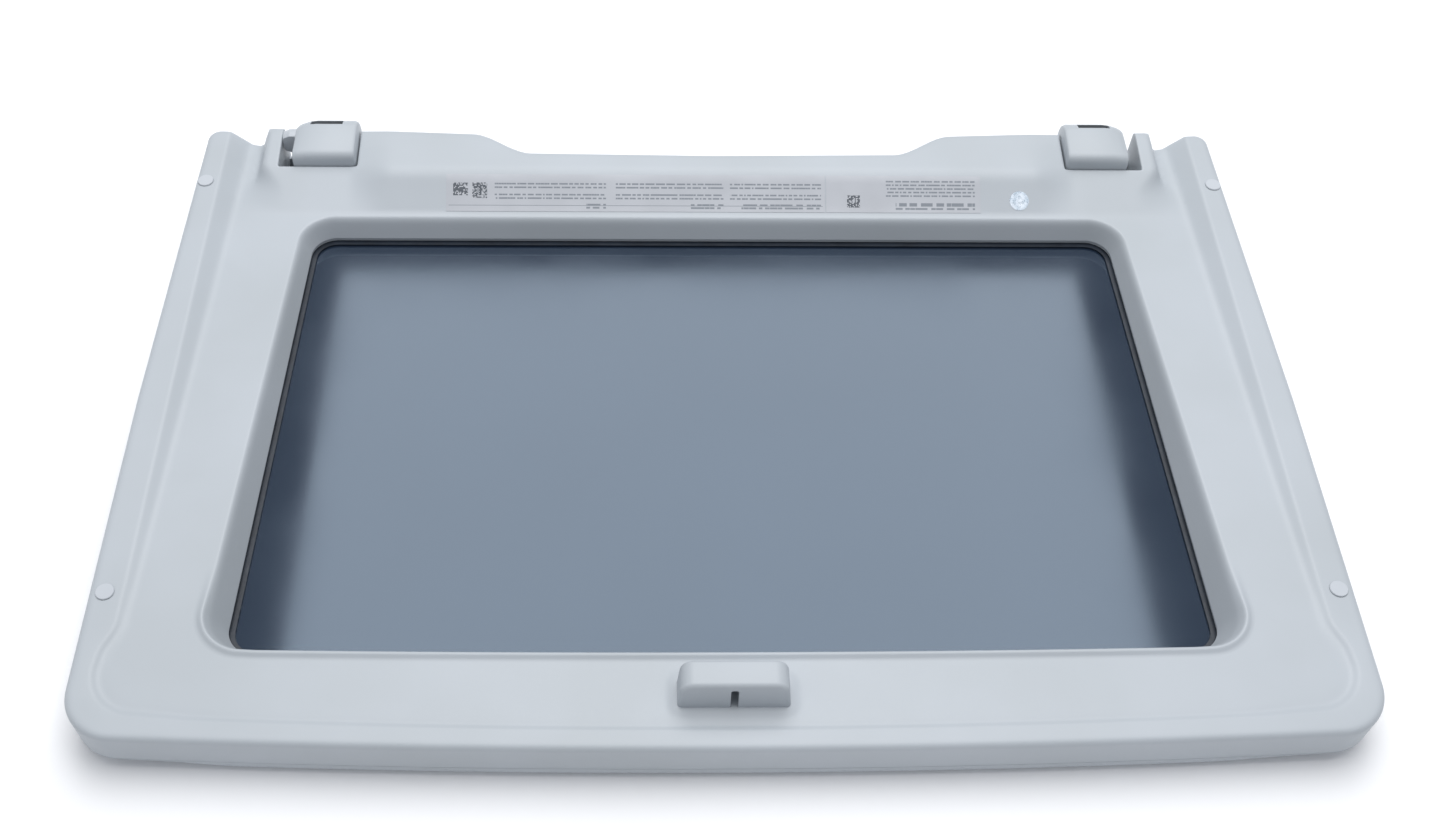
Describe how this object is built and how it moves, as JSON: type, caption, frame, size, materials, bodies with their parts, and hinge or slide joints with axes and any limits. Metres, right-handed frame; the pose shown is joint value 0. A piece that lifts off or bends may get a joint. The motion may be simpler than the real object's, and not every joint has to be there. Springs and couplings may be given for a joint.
{
  "type": "washing machine lid",
  "caption": "White top-load washer lid, inner side up: tinted glass window, raised rim, lock strike, and hinge fittings under two caps at the back edge.",
  "frame": {"origin": "centre of the lid's bounding box in plan, on the outer face that the lid lies on", "axes": "+X along the hinge line to the right seen from the front edge with the inner side up, +Y to the hinge edge, +Z out of the inner side"},
  "size_m": [0.64, 0.4228, 0.049],
  "materials": {
    "white_moulding": "fine moulded texture, white",
    "tinted_glass": "grey tempered glass, polished",
    "black_rubber": "black seal, satin",
    "grey_adhesive": "cured sealant",
    "zinc_steel": "zinc plated",
    "dark_plastic": "moulded, black",
    "white_acetal": "smooth moulded, white",
    "plated_magnet": "nickel plated",
    "label_film": "matt label film",
    "silver_sticker": "metallised film"
  },
  "bodies": {
    "lid": {"outer_frame": "white_moulding", "inner_cover": "white_moulding", "lid_glass": "tinted_glass", "glass_gasket": "black_rubber", "glass_adhesive": "grey_adhesive", "lock_strike": "white_moulding", "strike_screw_left": "zinc_steel", "strike_screw_right": "zinc_steel", "strike_magnet": "plated_magnet", "bumper_front_left": "white_moulding", "bumper_front_right": "white_moulding", "bumper_back_left": "white_moulding", "bumper_back_right": "white_moulding", "hinge_cap_left": "white_moulding", "hinge_cap_right": "white_moulding", "hinge_bracket_left": "zinc_steel", "hinge_bracket_right": "zinc_steel", "damper_body_left": "dark_plastic", "damper_plug_left": "dark_plastic", "bearing_housing_right": "dark_plastic", "bracket_screw_left_1": "zinc_steel", "bracket_screw_left_2": "zinc_steel", "bracket_screw_right_1": "zinc_steel", "bracket_screw_right_2": "zinc_steel", "care_label": "label_film", "rating_label": "label_film", "inspection_sticker": "silver_sticker"},
    "damper_rotor": {"hinge_shaft_left": "white_acetal"},
    "keyed_bush": {"hinge_bush_right": "white_acetal"}
  },
  "joints": [
    {"name": "damper_turn", "type": "hinge", "parent": "lid", "child": "damper_rotor", "pos_m": [-0.267, 0.1995, 0.032], "axis": [-1, 0, 0], "range_deg": [0, 100]},
    {"name": "bush_turn", "type": "hinge", "parent": "lid", "child": "keyed_bush", "pos_m": [0.2537, 0.1995, 0.032], "axis": [-1, 0, 0], "range_deg": [0, 100]}
  ],
  "couplings": [
    {"joint": "bush_turn", "follows": "damper_turn", "ratio": 1}
  ]
}
